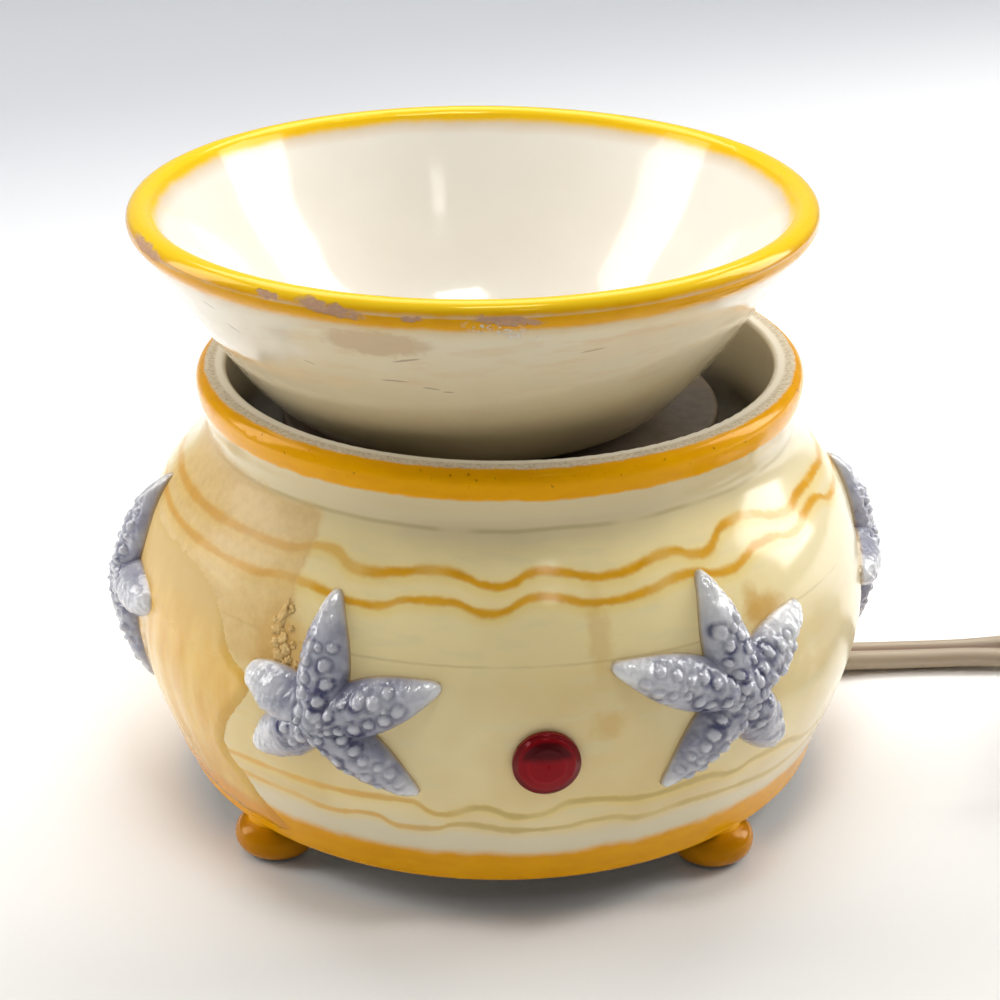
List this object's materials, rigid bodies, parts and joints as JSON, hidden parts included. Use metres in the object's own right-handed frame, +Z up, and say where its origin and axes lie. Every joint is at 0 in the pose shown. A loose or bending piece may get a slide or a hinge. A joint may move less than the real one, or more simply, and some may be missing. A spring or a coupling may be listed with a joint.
{
  "type": "wax melt warmer",
  "caption": "Pot-bellied glazed stoneware wax melt warmer with starfish reliefs, a loose dish on a small electric heating plate, a red pilot lens and a flat twin mains lead",
  "frame": {"origin": "on the surface it stands on, at the pot's axis", "axes": "+Z up, -Y toward the pilot lens at the front, +X to the right seen from the front"},
  "size_m": [0.322, 0.1418, 0.1064],
  "materials": {
    "glaze": "gloss",
    "sprig_glaze": "gloss",
    "plate_coat": "gloss",
    "mica": "satin",
    "resistance_ribbon": "satin",
    "plain_steel": "satin",
    "spring_steel": "satin",
    "mineral_felt": "matte",
    "heatproof_moulding": "matte",
    "red_lens": "gloss",
    "lamp_glass": "gloss",
    "cord_jacket": "satin",
    "lead_jacket": "matte",
    "splice_sleeve": "satin",
    "fuse_case": "satin",
    "blade_brass": "satin",
    "tie_strip": "satin"
  },
  "bodies": {
    "base": {"pot": "glaze", "starfish_front_left": "sprig_glaze", "starfish_front_right": "sprig_glaze", "starfish_right": "sprig_glaze", "starfish_back_right": "sprig_glaze", "starfish_back_left": "sprig_glaze", "starfish_left": "sprig_glaze", "heating_plate": "plate_coat", "upper_mica_disc": "mica", "heater_winding": "resistance_ribbon", "lower_mica_disc": "mica", "clamp_plate": "plain_steel", "insulation_pad": "mineral_felt", "heater_pan": "plain_steel", "plate_screws": "plain_steel", "stand": "heatproof_moulding", "base_cover": "heatproof_moulding", "base_screws": "plain_steel", "pilot_lens": "red_lens", "lens_clip": "spring_steel", "pilot_lamp": "lamp_glass", "pilot_resistor": "lead_jacket", "cord_bushing": "cord_jacket", "cord_inner": "cord_jacket", "cord_lead": "cord_jacket", "cord_coil": "cord_jacket", "cord_tail": "cord_jacket", "cord_tie": "tie_strip", "plug_body": "cord_jacket", "plug_blades": "blade_brass", "supply_leads": "lead_jacket", "heater_leads": "lead_jacket", "fuse_lead": "lead_jacket", "pilot_leads": "lead_jacket", "splice_connectors": "splice_sleeve", "thermal_fuse": "fuse_case", "fuse_clip": "spring_steel"},
    "dish_body": {"dish": "glaze"}
  },
  "joints": [
    {"name": "dish_lift", "type": "slide", "parent": "base", "child": "dish_body", "axis": [0, 0, 1], "range_m": [0, 0.06]}
  ]
}
